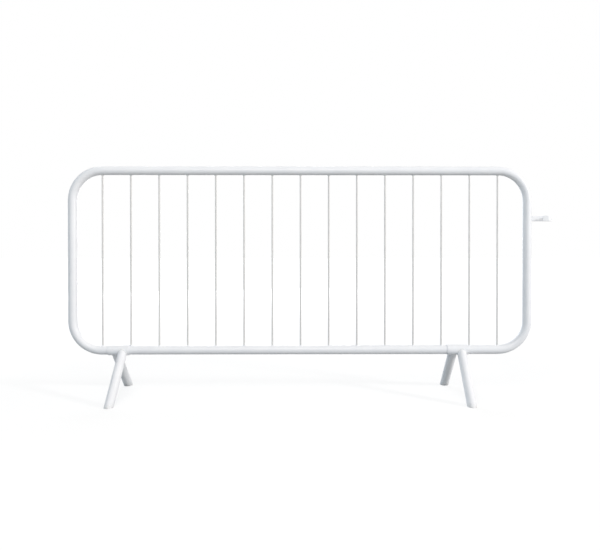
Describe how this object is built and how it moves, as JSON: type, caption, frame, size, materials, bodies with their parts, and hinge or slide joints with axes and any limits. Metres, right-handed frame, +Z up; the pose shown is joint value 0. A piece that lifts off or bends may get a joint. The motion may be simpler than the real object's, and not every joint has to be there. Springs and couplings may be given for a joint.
{
  "type": "pedestrian barrier panel",
  "caption": "Free-standing pedestrian barrier: rounded tubular steel frame with slim upright bars, splayed tube legs on rail sleeves and a flat-bar hook that couples to the next panel.",
  "frame": {"origin": "on the ground, at the middle of the whole length including the hook and midway between the front and rear feet", "axes": "+X along the rails towards the hook end, +Y towards the rear of the panel, +Z up"},
  "size_m": [2.3, 0.4914, 1.09],
  "materials": {
    "white_powder_coat": "satin white powder coat on steel tube and bar",
    "coated_weld": "white powder coat over rippled weld beads",
    "bare_steel": "bare drawn steel tube, sealed inside the frame"
  },
  "bodies": {
    "root": {"frame_tube": "white_powder_coat", "infill_bar_01": "white_powder_coat", "infill_bar_02": "white_powder_coat", "infill_bar_03": "white_powder_coat", "infill_bar_04": "white_powder_coat", "infill_bar_05": "white_powder_coat", "infill_bar_06": "white_powder_coat", "infill_bar_07": "white_powder_coat", "infill_bar_08": "white_powder_coat", "infill_bar_09": "white_powder_coat", "infill_bar_10": "white_powder_coat", "infill_bar_11": "white_powder_coat", "infill_bar_12": "white_powder_coat", "infill_bar_13": "white_powder_coat", "infill_bar_14": "white_powder_coat", "infill_bar_15": "white_powder_coat", "left_foot_sleeve": "white_powder_coat", "right_foot_sleeve": "white_powder_coat", "left_front_leg": "white_powder_coat", "left_rear_leg": "white_powder_coat", "right_front_leg": "white_powder_coat", "right_rear_leg": "white_powder_coat", "coupling_hook": "white_powder_coat", "upper_bar_welds": "coated_weld", "lower_bar_welds": "coated_weld", "left_leg_welds": "coated_weld", "right_leg_welds": "coated_weld", "left_sleeve_welds": "coated_weld", "right_sleeve_welds": "coated_weld", "hook_welds": "coated_weld", "joint_spigot": "bare_steel"}
  },
  "joints": []
}
